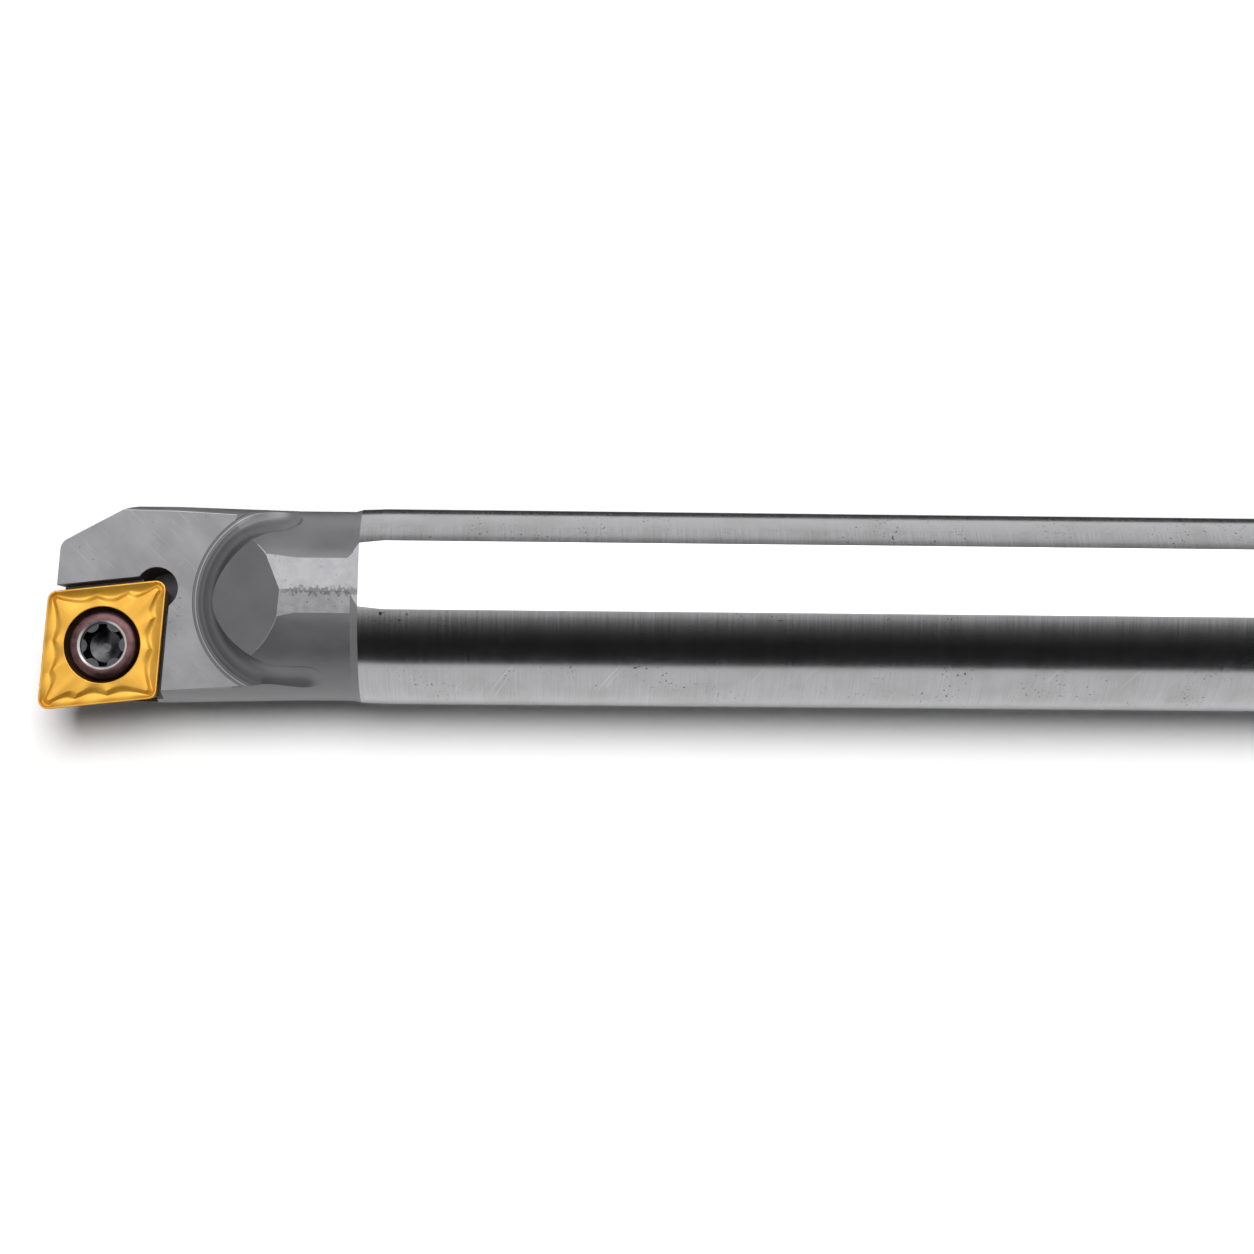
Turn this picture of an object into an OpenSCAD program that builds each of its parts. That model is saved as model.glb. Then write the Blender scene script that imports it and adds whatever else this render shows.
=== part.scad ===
// Boring bar with an indexable rhombic insert held by one countersunk screw.
// Origin at the centre of the rear end face, +X out of the rear end, the head towards -X,
// the cutting corner on the -Y side at centre height, +Z out of the top flat.

/* [Shank] */
// Diameter of the round shank
shank_d = 16; // [15:0.5:18]
// Length from the rear end face to the cutting corner
overall_l = 180; // [100:5:250]
// Depth of the top and bottom flats below the round
flat_depth = 0.55; // [0.3:0.05:0.7]
// Chamfer round the rear end
rear_chamfer = 1; // [0.3:0.1:1.5]
// Radial drop of the lead-in at the front of the shank
lead_in = 0.08; // [0.05:0.01:0.1]
// Length of that lead-in
lead_in_l = 2; // [1:0.5:4]
// Slope on which the top flat runs out into the neck
flat_exit_angle = 12; // [8:1:20]

/* [Neck and head] */
// Length from the cutting corner back to the start of the ground shank
head_l = 25.9; // [25:0.1:32]
// Radial relief of the turned neck below the shank
neck_relief = 0.25; // [0.1:0.05:0.6]
// Length of the full neck in front of the shank
neck_l = 5; // [3:0.5:6]
// Length over which the neck grows to the head
neck_taper_l = 10; // [6:0.5:14]
// Length of the short cone between neck and shank
neck_cone_l = 0.6; // [0.3:0.1:1]
// Depth of the narrow upper facet on the neck
facet_depth = 0.11; // [0.06:0.01:0.2]
// Depth of the second facet beside it
side_facet_depth = 0.05; // [0.03:0.01:0.1]
// Turn of the second facet about the bar
side_facet_angle = 17.5; // [17:0.5:22]

/* [Insert] */
// Inscribed circle of the insert
insert_ic = 9.525; // [8.8:0.005:10]
// Thickness of the insert
insert_t = 3.97; // [3.2:0.01:4.4]
// Radius of the insert's corners
nose_r = 0.8; // [0.6:0.1:1.2]
// Clearance angle of the insert's flanks
flank_angle = 7; // [5:1:9]
// Through hole of the insert
insert_hole_d = 4.4; // [4.1:0.1:4.8]
// Countersink at the top of the insert
sink_d = 6; // [5.6:0.1:6.4]
// Width of the flat band along the cutting edge
edge_band = 0.15; // [0.1:0.05:0.35]
// Width of the chip groove inside that band, between two scallops
groove_w = 0.85; // [0.8:0.05:1.3]
// Depth of the chip groove
groove_depth = 0.22; // [0.15:0.01:0.35]
// Width of the slope between the groove and the top of the insert
breaker_w = 0.45; // [0.3:0.05:0.6]
// Number of scallops of the chip breaker along each side
scallops = 3; // [2:1:6]
// Reach of each scallop
scallop_reach = 0.4; // [0.1:0.05:0.4]
// Growth of the scallops from the acute corner to the obtuse one, as a share of the first
scallop_growth = 0.27; // [0:0.01:0.4]
// How much nearer the chip breaker comes to the insert's corners
corner_lead = 0.25; // [0.1:0.05:0.3]

/* [Tip position] */
// Distance from the bar's axis to the cutting corner
tip_offset = 9.1; // [8.8:0.1:10.5]
// Lean of the two leading edges away from square
edge_angle = 5; // [5:1:5]
// Tilt of the insert and the head's land towards the cutting side
side_tilt = 14; // [10:1:15]
// Tilt of the same plane towards the front
front_tilt = 4; // [2:0.5:5]

/* [Land and pocket] */
// Height of the land above the insert's cutting edges
land_rise = 0.3; // [0:0.05:0.5]
// Height of the pocket walls that touch the insert
contact_h = 2.4; // [1.8:0.1:2.8]
// Gap above them beside the insert's long far edge
far_gap = 0.4; // [0.3:0.05:0.9]
// Gap above them behind the insert
rear_gap = 0.4; // [0.2:0.05:0.6]
// Radius of the relief hole in the pocket's corner
relief_r = 1.7; // [1.5:0.1:2.2]
// How far the relief hole's centre sits inside the pocket's corner
relief_inset = 0.75; // [0.5:0.05:1]
// Depth of the relief hole below the insert's seat
relief_depth = 0.3; // [0.1:0.05:0.6]
// Set-back of the head's front face behind the insert's front edge
front_setback = 0.75; // [0.6:0.05:1]
// Lean of the front face
front_relief = 8; // [8:1:12]
// Distance from the corner to where the nose chamfer meets the bar's side
nose_l = 7; // [5.5:0.1:8]
// Angle of the nose chamfer to the bar
nose_angle = 27; // [22:1:34]

/* [Chip gullet] */
// Distance from the cutting corner to the centre of the ramp's round foot
gullet_l = 20.6; // [19.8:0.1:20.7]
// Radius of the round foot at the land
gullet_r = 8; // [7.4:0.1:8]
// Radius of the fillet round the foot
gullet_fillet = 2.6; // [2.2:0.1:2.9]
// Angle of the ramp to the land
ramp_angle = 28.2; // [26:0.1:30]
// Height of the ramp's lower end above the land
ramp_foot = 0.7; // [0.4:0.02:0.7]
// Distance before the foot's centre at which the cutter's two straight passes start
pass_start = 2.7; // [2:0.1:3.4]
// How much deeper than the fillet they run
pass_sink = 0.8; // [0.4:0.05:1]
// How far they run on past the centre on the cutting side
near_runout = 1.2; // [1:0.1:2.2]
// How far they run on past the centre on the far side
far_runout = 0.1; // [0.1:0.1:1.2]
// Step that they leave in the foot's wall
pass_step = 0.08; // [0.05:0.01:0.15]

/* [Screw] */
// Diameter of the screw's thread
screw_d = 3.5; // [3:0.1:3.9]
// Length of the screw from the insert's top plane
screw_l = 8.5; // [7.5:0.1:8.8]
// Angle of the screw's head and of the countersink
sink_angle = 60; // [56:1:64]
// Radius of the rounded rim of the screw's head
head_round = 0.9; // [0.7:0.05:1]
// Depth of the head's top below the insert's top plane
head_drop = 0.03; // [0.02:0.01:0.2]
// Width of the six-lobe socket across the lobes
socket_d = 3.35; // [3:0.05:3.5]
// Width of the socket between the lobes
socket_waist = 2.4; // [2.2:0.05:2.5]
// Depth of the socket
socket_depth = 1.3; // [1:0.1:1.6]
// Width of the bevel round the socket's mouth
socket_bevel = 0.14; // [0.05:0.01:0.2]
// Radial clearance of the thread in the bar
thread_gap = 0.04; // [0.02:0.01:0.08]

/* [Hidden] */
$fn = 96;
// Cutters reach past the whole head, and small ones past the surface that they leave
reach = head_l + 2 * shank_d;
far_out = 2 * reach;
over = shank_d / 16;

shank_r = shank_d / 2;
neck_r = shank_r - neck_relief;
flat_z = shank_r - flat_depth;
shank_l = overall_l - head_l;

// Rhombic outline of the insert
acute = 80;
half_ic = insert_ic / 2;
corner_reach = half_ic / sin(acute / 2);
corner_inset = nose_r * (sin(45) / sin(acute / 2) - 1);
insert_mid = corner_reach * sin(45);
sink_r = sink_d / 2;
socket_point = socket_waist / 6;
groove_end = edge_band + groove_w;

// Heights in the tilted frame of the insert's top plane
seat_z = -insert_t;
contact_z = seat_z + contact_h;
fillet_z = land_rise + gullet_fillet;
toe_z = land_rise + 0.9 * ramp_foot;

// Height and side position of the bar's axis in the tilted frame, x away from the corner
function axis_z(x) = -(tip_offset + corner_inset) * sin(side_tilt) - x * tan(front_tilt) * cos(side_tilt);
function axis_y(x) = (tip_offset + corner_inset) * cos(side_tilt) - x * tan(front_tilt) * sin(side_tilt);
function land_half(x) = sqrt(shank_r ^ 2 - (land_rise - axis_z(x)) ^ 2);

gullet_y = axis_y(gullet_l);
ramp_foot_x = gullet_l - gullet_r + sqrt(gullet_fillet ^ 2 - (gullet_fillet - ramp_foot) ^ 2);

// Places its children in the tilted frame, with the origin at the insert's sharp corner
module at_tip() {
    translate([-overall_l - corner_inset, -tip_offset - corner_inset, 0])
        rotate([side_tilt, -front_tilt, 0])
            children();
}

// Blank as turned, drawn from the rear end forwards
module turned_blank() {
    neck_start = shank_l + neck_cone_l;
    taper_start = shank_l + neck_l;
    rotate([0, -90, 0])
        rotate_extrude()
            polygon([
                [0, 0],
                [shank_r - rear_chamfer, 0],
                [shank_r, rear_chamfer],
                [shank_r, shank_l - lead_in_l],
                [shank_r - lead_in, shank_l],
                [neck_r, neck_start],
                [neck_r, taper_start],
                [shank_r, taper_start + neck_taper_l],
                [shank_r, overall_l + shank_r],
                [0, overall_l + shank_r]
            ]);
}

// Everything beyond a plane along the bar, turned about its axis
module beyond_plane(height, turn, from_x, to_x) {
    rotate([turn, 0, 0])
        translate([from_x, -reach, height])
            cube([to_x - from_x, far_out, reach]);
}

// Slope on which the grinding wheel of the top flat leaves the neck
module flat_exit() {
    translate([-shank_l, -reach, flat_z])
        rotate([0, flat_exit_angle, 0])
            translate([-reach, 0, 0])
                cube([reach, far_out, reach]);
}

// Flats ground on the shank, and the narrow facets left on the neck
module long_flats() {
    front_x = -overall_l - reach;
    beyond_plane(flat_z, 0, -shank_l, reach);
    flat_exit();
    beyond_plane(flat_z, 180, front_x, reach);
    beyond_plane(neck_r - facet_depth, 0, front_x, reach);
    beyond_plane(neck_r - side_facet_depth, side_facet_angle, front_x, -shank_l - neck_cone_l);
}

// Front face, set back behind the insert's front edge and leaning away below it
module front_face_cut() {
    rotate([0, 0, -edge_angle])
        translate([front_setback, 0, 0])
            rotate([0, -front_relief, 0])
                translate([-reach, -reach, -reach])
                    cube([reach, far_out, far_out]);
}

// Straight chamfer across the far front corner of the head
module nose_chamfer_cut() {
    translate([nose_l, axis_y(nose_l) + land_half(nose_l), 0])
        rotate([0, 0, nose_angle])
            translate([-reach, 0, -reach])
                cube([far_out, reach, far_out]);
}

// Profile of the ramp's round foot: a wall on a concave fillet
module foot_profile() {
    translate([0, land_rise - reach])
        square([gullet_r - gullet_fillet, far_out]);
    translate([0, land_rise - reach])
        square([gullet_r, reach]);
    difference() {
        translate([0, land_rise])
            square([gullet_r, gullet_fillet]);
        translate([gullet_r, fillet_z])
            circle(gullet_fillet);
    }
}

// What stays standing of the bar behind the land: the round foot under the ramp, with a whole toe
module ramp_island() {
    intersection() {
        translate([gullet_l, gullet_y, 0])
            rotate_extrude()
                foot_profile();
        union() {
            translate([ramp_foot_x, 0, land_rise + ramp_foot])
                rotate([0, -ramp_angle, 0])
                    translate([-reach, -reach, -reach])
                        cube([far_out, far_out, reach]);
            translate([-reach, -reach, toe_z - reach])
                cube([far_out, far_out, reach]);
        }
    }
}

// Straight pass of the round-nosed cutter beside the foot
module runout_cut(side, run) {
    pass_l = pass_start + run;
    translate([gullet_l - pass_start, gullet_y + side * (gullet_r - pass_step), fillet_z - pass_sink]) {
        rotate([0, 90, 0])
            cylinder(h = pass_l, r = gullet_fillet);
        translate([0, -gullet_fillet, 0])
            cube([pass_l, 2 * gullet_fillet, reach]);
        for (x = [0, pass_l])
            translate([x, 0, 0]) {
                sphere(gullet_fillet);
                cylinder(h = reach, r = gullet_fillet);
            }
    }
}

// Land beside the insert and the gullet behind it
module chip_gullet_cut() {
    difference() {
        translate([-reach, -reach, land_rise])
            cube([reach + gullet_l, far_out, reach]);
        ramp_island();
    }
    runout_cut(-1, near_runout);
    runout_cut(1, far_runout);
}

// Part of the pocket that the insert's flanks touch
module pocket_contact() {
    intersection() {
        translate([-reach, -reach, seat_z])
            cube([far_out, far_out, reach]);
        rotate([0, 0, edge_angle])
            translate([0, insert_ic, 0])
                rotate([-flank_angle, 0, 0])
                    translate([-reach, -far_out, -reach])
                        cube([far_out, far_out, far_out]);
        rotate([0, 0, -edge_angle])
            translate([insert_ic, 0, 0])
                rotate([0, flank_angle, 0])
                    translate([-far_out, -reach, -reach])
                        cube([far_out, far_out, far_out]);
    }
}

// Wider part of the pocket above the contact walls
module pocket_relief() {
    translate([0, 0, contact_z])
        linear_extrude(reach)
            intersection() {
                rotate(edge_angle)
                    translate([-reach, -reach])
                        square([far_out, reach + insert_ic + far_gap]);
                rotate(-edge_angle)
                    translate([-reach, -reach])
                        square([reach + insert_ic + rear_gap, far_out]);
            }
}

// Relief hole in the pocket's corner, with one side running straight to the rear wall
module corner_relief() {
    corner = 2 * insert_mid - relief_inset;
    translate([corner, corner, seat_z - relief_depth])
        linear_extrude(reach) {
            circle(relief_r);
            rotate(225)
                square([2 * relief_r, relief_r]);
        }
}

// Threaded hole for the insert's screw, right through the head
module screw_hole() {
    hole_r = screw_d / 2 + thread_gap;
    translate([insert_mid, insert_mid, seat_z - reach])
        cylinder(h = far_out, r = hole_r);
    translate([insert_mid, insert_mid, seat_z - thread_gap])
        cylinder(h = 2 * thread_gap, r1 = hole_r, r2 = hole_r + 2 * thread_gap);
}

// Bar turned and milled from one piece of steel
module bar_body() {
    color("dimgray")
        difference() {
            turned_blank();
            long_flats();
            at_tip() {
                front_face_cut();
                nose_chamfer_cut();
                chip_gullet_cut();
                pocket_contact();
                pocket_relief();
                corner_relief();
                screw_hole();
            }
        }
}

// Points round the insert's outline: each corner's arc, then the side after it
arc_steps = 7;
scallop_steps = 7;
side_steps = scallops * scallop_steps;
// Outward normals where the four corner arcs start, and how far each arc turns
arc_starts = [180 - edge_angle, 270 + edge_angle, -edge_angle, 90 + edge_angle];
arc_turns = [180 - acute, acute, 180 - acute, acute];
outline_n = 4 * (arc_steps + side_steps);

function outline_corner(i) = floor(i / (arc_steps + side_steps));
function outline_step(i) = i % (arc_steps + side_steps);
function corner_point(k, step, inset) =
    let (
        r = max(nose_r - inset, nose_r / 4),
        bisector = arc_starts[k] + arc_turns[k] / 2,
        d = (half_ic - inset - r) / sin((180 - arc_turns[k]) / 2),
        a = arc_starts[k] + arc_turns[k] * step / arc_steps
    )
    d * [cos(bisector), sin(bisector)] + r * [cos(a), sin(a)];
function outline_point(i, inset) =
    let (
        k = outline_corner(i),
        step = outline_step(i),
        u = side_place(i)
    )
    step <= arc_steps
        ? corner_point(k, step, inset)
        : (1 - u) * corner_point(k, arc_steps, inset) + u * corner_point((k + 1) % 4, 0, inset);
// Share of a side taken by its first m scallops, which grow away from the acute corner
function scallop_end(m) = m * (2 + scallop_growth * (m - 1)) / (2 + scallop_growth * (scallops - 1)) / scallops;
// Steps along a side counted from its acute corner, and 0 all round a corner
function side_step(i) =
    let (step = max(0, outline_step(i) - arc_steps))
    outline_corner(i) % 2 == 0 ? step : (side_steps - step) % side_steps;
// Place on a side with unequal scallops, from the corner where it starts
function side_place(i) =
    let (
        step = max(0, outline_step(i) - arc_steps),
        t = outline_corner(i) % 2 == 0 ? step : side_steps - step,
        m = floor(t / scallop_steps),
        f = t / scallop_steps - m,
        place = (1 - f) * scallop_end(m) + f * scallop_end(m + 1)
    )
    outline_corner(i) % 2 == 0 ? place : 1 - place;
// Scallops meet in cusps, and the cusps at the corners come nearer to the edge
function scallop(i) = sin(180 * (side_step(i) % scallop_steps) / scallop_steps);
function corner_share(i) =
    let (step = max(0, outline_step(i) - arc_steps))
    max(0, 1 - min(step, side_steps - step) / scallop_steps);

// One ring of points: inset, how far scallops and corners move it, and height
function insert_ring(inset, wave, lead, z) = [
    for (i = [0 : outline_n - 1])
        let (p = outline_point(i, inset + wave * scallop(i) - lead * corner_share(i)))
        [p[0], p[1], z]
];

// Solid insert before its hole: tapered flanks and a top with a scalloped chip groove
module insert_blank() {
    bottom_inset = insert_t * tan(flank_angle);
    rings = [
        insert_ring(bottom_inset, 0, 0, seat_z),
        insert_ring(0, 0, 0, 0),
        insert_ring(edge_band, 0, 0, 0),
        insert_ring(groove_end - breaker_w, scallop_reach, corner_lead, -groove_depth),
        insert_ring(groove_end, scallop_reach, corner_lead, 0)
    ];
    n = outline_n;
    last = (len(rings) - 1) * n;
    foot = len(rings) * n;
    polyhedron(
        points = concat([for (ring = rings, p = ring) p], [[0, 0, seat_z], [0, 0, 0]]),
        faces = concat(
            [for (i = [0 : n - 1]) [foot, i, (i + 1) % n]],
            [
                for (j = [0 : len(rings) - 2], i = [0 : n - 1], half = [0, 1])
                    let (
                        a = j * n + i,
                        b = j * n + (i + 1) % n
                    )
                    half == 0 ? [a, a + n, b] : [b, a + n, b + n]
            ],
            [for (i = [0 : n - 1]) [foot + 1, last + (i + 1) % n, last + i]]
        )
    );
}

// Hole of the insert with its countersink
module insert_hole_cut() {
    sink_depth = (sink_d - insert_hole_d) / 2 / tan(sink_angle / 2);
    translate([0, 0, seat_z - over])
        cylinder(h = insert_t + 2 * over, d = insert_hole_d);
    translate([0, 0, -sink_depth])
        cylinder(h = sink_depth, d1 = insert_hole_d, d2 = sink_d);
    cylinder(h = over, d = sink_d);
}

module insert() {
    color("goldenrod")
        at_tip()
            translate([insert_mid, insert_mid, 0])
                difference() {
                    insert_blank();
                    insert_hole_cut();
                }
}

// Half section of the screw, its countersunk head cut to the same cone as the insert's sink
module screw_profile() {
    head_slope = tan(sink_angle / 2);
    thread_r = screw_d / 2;
    rim_x = sink_r - head_round * 1.13;
    end_chamfer = screw_d / 10;
    intersection() {
        polygon([
            [0, -screw_l],
            [thread_r - end_chamfer, -screw_l],
            [thread_r, -screw_l + end_chamfer],
            [thread_r, (thread_r - sink_r) / head_slope],
            [sink_r, 0],
            [0, 0]
        ]);
        union() {
            translate([0, -2 * screw_l])
                square([rim_x, 2 * screw_l - head_drop]);
            translate([0, -2 * screw_l])
                square([rim_x + head_round, 2 * screw_l - head_drop - head_round]);
            translate([rim_x, -head_drop - head_round])
                circle(head_round);
        }
    }
}

// Six-lobe outline of the socket
module six_lobes() {
    flute_r = socket_d * 0.185;
    difference() {
        circle(d = socket_d);
        for (k = [0 : 5])
            rotate(60 * k)
                translate([socket_waist / 2 + flute_r, 0])
                    circle(flute_r);
    }
}

module insert_screw() {
    color("saddlebrown")
        at_tip()
            translate([insert_mid, insert_mid, 0])
                difference() {
                    rotate_extrude()
                        screw_profile();
                    translate([0, 0, -head_drop - socket_depth])
                        linear_extrude(socket_depth + over)
                            six_lobes();
                    translate([0, 0, -head_drop - socket_depth - socket_point])
                        cylinder(h = 2 * socket_point, d1 = 0, d2 = 0.8 * socket_waist);
                    translate([0, 0, -head_drop - socket_bevel])
                        cylinder(h = 2 * socket_bevel, d1 = socket_d, d2 = socket_d + 4 * socket_bevel);
                }
}

bar_body();
insert();
insert_screw();
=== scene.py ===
# Boring bar with a rhombic insert: the looks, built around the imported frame
import math

import bpy
from mathutils import Matrix, Vector


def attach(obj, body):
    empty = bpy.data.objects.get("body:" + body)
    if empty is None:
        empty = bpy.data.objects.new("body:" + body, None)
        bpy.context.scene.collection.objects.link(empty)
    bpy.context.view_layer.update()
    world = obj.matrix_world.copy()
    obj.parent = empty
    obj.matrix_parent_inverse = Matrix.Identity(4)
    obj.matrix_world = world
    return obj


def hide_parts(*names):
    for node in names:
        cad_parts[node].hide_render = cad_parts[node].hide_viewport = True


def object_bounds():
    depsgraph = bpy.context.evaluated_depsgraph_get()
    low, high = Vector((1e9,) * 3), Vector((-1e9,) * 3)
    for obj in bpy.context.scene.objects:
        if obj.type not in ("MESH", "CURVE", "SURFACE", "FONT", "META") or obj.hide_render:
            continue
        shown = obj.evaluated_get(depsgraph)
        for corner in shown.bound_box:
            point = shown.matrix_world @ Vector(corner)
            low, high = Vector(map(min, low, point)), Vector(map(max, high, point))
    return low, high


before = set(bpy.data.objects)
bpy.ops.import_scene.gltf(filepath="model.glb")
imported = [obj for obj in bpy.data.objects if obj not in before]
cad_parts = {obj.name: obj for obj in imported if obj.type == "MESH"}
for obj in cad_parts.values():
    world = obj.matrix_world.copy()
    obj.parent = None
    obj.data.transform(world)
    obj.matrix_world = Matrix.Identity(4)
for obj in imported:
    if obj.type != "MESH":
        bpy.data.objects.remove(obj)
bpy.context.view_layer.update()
print("frame loaded:", sorted(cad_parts))

# Pieces are modelled in millimetres in the frame's own axes and brought to metres when finished
metresPerMm = 0.001
samePoint = 0.00001    # points nearer than this, in millimetres, are one

# The tip and the tilted plane that the insert lies in
tip = {
    "overall": 180.0,        # rear end to the cutting corner
    "offset": 9.1,           # bar's axis to the cutting corner
    "noseRadius": 0.8,
    "sideTilt": 14.0,        # degrees, towards the cutting side
    "frontTilt": 4.0,        # degrees, towards the front
    "edgeAngle": 5.0,        # lean of both leading edges
    "acute": 80.0,
}
cornerInset = tip["noseRadius"] * (
    math.sin(math.radians(45)) / math.sin(math.radians(tip["acute"] / 2)) - 1
)
tipPlace = (
    Matrix.Translation((-tip["overall"] - cornerInset, -tip["offset"] - cornerInset, 0))
    @ Matrix.Rotation(math.radians(-tip["frontTilt"]), 4, "Y")
    @ Matrix.Rotation(math.radians(tip["sideTilt"]), 4, "X")
)


# Small helpers for modelling
def deselectAll():
    if bpy.context.object and bpy.context.object.mode != "OBJECT":
        bpy.ops.object.mode_set(mode="OBJECT")
    bpy.ops.object.select_all(action="DESELECT")


def pick(piece):
    deselectAll()
    piece.select_set(True)
    bpy.context.view_layer.objects.active = piece


def settle(piece, place):
    # puts a primitive in its place and leaves the place in its mesh
    pick(piece)
    piece.matrix_world = place @ piece.matrix_world
    bpy.ops.object.transform_apply(location=True, rotation=True, scale=True)
    return piece


def boxPiece(low, high, place=Matrix.Identity(4), finish=None):
    deselectAll()
    low, high = Vector(low), Vector(high)
    bpy.ops.mesh.primitive_cube_add(size=1, location=(low + high) / 2, scale=high - low)
    return coat(settle(bpy.context.object, place), finish)


def turnedPiece(profile, steps, place=Matrix.Identity(4), finish=None):
    # a disc is drawn up along Z and resized at each (radius, height) of the profile
    deselectAll()
    radius, height = profile[0]
    bpy.ops.mesh.primitive_circle_add(
        vertices=steps, radius=radius, fill_type="NGON", location=(0, 0, height)
    )
    piece = settle(bpy.context.object, Matrix.Identity(4))
    bpy.ops.object.mode_set(mode="EDIT")
    bpy.ops.mesh.select_all(action="SELECT")
    for nextRadius, nextHeight in profile[1:]:
        bpy.ops.mesh.extrude_region_move(
            TRANSFORM_OT_translate={"value": (0, 0, nextHeight - height)}
        )
        ratio = nextRadius / radius
        bpy.ops.transform.resize(value=(ratio, ratio, 1), center_override=(0, 0, nextHeight))
        radius, height = nextRadius, nextHeight
    bpy.ops.mesh.select_all(action="SELECT")
    bpy.ops.mesh.normals_make_consistent(inside=False)
    bpy.ops.object.mode_set(mode="OBJECT")
    return coat(settle(piece, place), finish)


def wrappedSheet(columns, rows, spot, finish):
    # a grid whose points take the places that spot(column, row) gives, closed both ways round
    deselectAll()
    bpy.ops.mesh.primitive_grid_add(x_subdivisions=columns, y_subdivisions=rows, size=1)
    piece = bpy.context.object
    for vertex in piece.data.vertices:
        column = round((vertex.co.x + 0.5) * columns) % columns
        row = round((vertex.co.y + 0.5) * rows) % rows
        vertex.co = spot(column, row)
    pick(piece)
    bpy.ops.object.mode_set(mode="EDIT")
    bpy.ops.mesh.select_all(action="SELECT")
    bpy.ops.mesh.remove_doubles(threshold=samePoint)
    bpy.ops.mesh.normals_make_consistent(inside=False)
    bpy.ops.object.mode_set(mode="OBJECT")
    return coat(piece, finish)


def coat(piece, finish):
    if finish is not None:
        piece.data.materials.append(finish)
    return piece


def smoothFaces(piece, sharpAngle):
    pick(piece)
    bpy.ops.object.shade_smooth_by_angle(angle=math.radians(sharpAngle))
    applyModifier(piece, "WEIGHTED_NORMAL", mode="FACE_AREA", weight=100, keep_sharp=True)


def applyModifier(piece, kind, **settings):
    pick(piece)
    modifier = piece.modifiers.new(kind.lower(), kind)
    for name, value in settings.items():
        setattr(modifier, name, value)
    bpy.ops.object.modifier_apply(modifier=modifier.name)


def combine(piece, tool, operation="DIFFERENCE"):
    applyModifier(
        piece, "BOOLEAN", operation=operation, solver="EXACT", object=tool, material_mode="TRANSFER"
    )
    bpy.data.objects.remove(tool)
    return piece


def weldSeams(piece):
    # joins the doubled points that a cut can leave along a seam
    pick(piece)
    bpy.ops.object.mode_set(mode="EDIT")
    bpy.ops.mesh.select_all(action="SELECT")
    bpy.ops.mesh.remove_doubles(threshold=samePoint)
    bpy.ops.object.mode_set(mode="OBJECT")


def toMetres(piece):
    return settle(piece, Matrix.Scale(metresPerMm, 4))


# Small helpers for materials
def toLinear(hexColour):
    channels = [int(hexColour[i:i + 2], 16) / 255 for i in (1, 3, 5)]
    return [c / 12.92 if c <= 0.04045 else ((c + 0.055) / 1.055) ** 2.4 for c in channels] + [1.0]


def newMaterial(name):
    material = bpy.data.materials.new(name)
    material.use_nodes = True
    material.node_tree.nodes.clear()
    return material


def addNode(material, kind, links=None, **settings):
    # links gives each input a value or another node's output; settings are the node's own
    node = material.node_tree.nodes.new(kind)
    for name, value in settings.items():
        setattr(node, name, value)
    for key, value in (links or {}).items():
        if isinstance(value, bpy.types.NodeSocket):
            material.node_tree.links.new(value, node.inputs[key])
        else:
            node.inputs[key].default_value = value
    return node


def millimetres(material, stretch=(1, 1, 1), turn=(0, 0, 0), centre=(0, 0, 0)):
    # the piece's own coordinates in millimetres, centred, turned and then divided by the stretch
    place = addNode(material, "ShaderNodeTexCoord").outputs["Object"]
    placed = addNode(material, "ShaderNodeMapping", {
        "Vector": place, "Location": [c * metresPerMm for c in centre],
        "Rotation": [math.radians(t) for t in turn], "Scale": (metresPerMm,) * 3,
    }, vector_type="TEXTURE")
    return addNode(
        material, "ShaderNodeVectorMath", {0: placed.outputs[0], 1: stretch}, operation="DIVIDE",
    ).outputs[0]


def noiseBetween(material, vector, low, high, detail=3.0, scale=1.0, toMin=0.0, toMax=1.0):
    # cloudy pattern, spread so that low gives toMin and high gives toMax
    noise = addNode(material, "ShaderNodeTexNoise", {
        "Vector": vector, "Scale": scale, "Detail": detail,
    })
    return addNode(material, "ShaderNodeMapRange", {
        "Value": noise.outputs[0], "From Min": low, "From Max": high,
        "To Min": toMin, "To Max": toMax,
    }).outputs[0]


def pitMask(material, size, level, clusterSize, clusterLow):
    # small ragged pits that keep to clusters: 1 inside a pit
    place = millimetres(material)
    pits = noiseBetween(material, place, level, level + 0.03, 1.5, 1 / size)
    clusters = noiseBetween(material, place, clusterLow, clusterLow + 0.08, 2.0, 1 / clusterSize)
    return addNode(
        material, "ShaderNodeMath", {0: pits, 1: clusters}, operation="MULTIPLY",
    ).outputs[0]


def scratchMask(material, turn, length, width, cover):
    # fine scratches that all run about one way: 1 on a scratch
    vector = millimetres(material, (length, width, length), turn)
    return noiseBetween(material, vector, 1 - cover, 1 - cover + 0.04, 1.0)


def lineMask(material, distance, middle, core, edge, strength=1.0):
    # a line where the distance is the middle: full within the core and gone beyond the edge
    away = addNode(material, "ShaderNodeMath", {0: distance, 1: middle}, operation="SUBTRACT")
    away = addNode(material, "ShaderNodeMath", {0: away.outputs[0]}, operation="ABSOLUTE")
    return addNode(material, "ShaderNodeMapRange", {
        "Value": away.outputs[0], "From Min": edge, "From Max": core,
        "To Min": 0.0, "To Max": strength,
    }).outputs[0]


def layColours(material, ground, layers):
    # each layer is a mask, its strength and its tone, laid over what lies below
    colour = toLinear(ground)
    for mask, strength, tone in layers:
        if strength < 1:
            mask = addNode(
                material, "ShaderNodeMath", {0: mask, 1: strength}, operation="MULTIPLY",
            ).outputs[0]
        colour = addNode(
            material, "ShaderNodeMix", {0: mask, 6: colour, 7: toLinear(tone)}, data_type="RGBA",
        ).outputs[2]
    return colour


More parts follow.
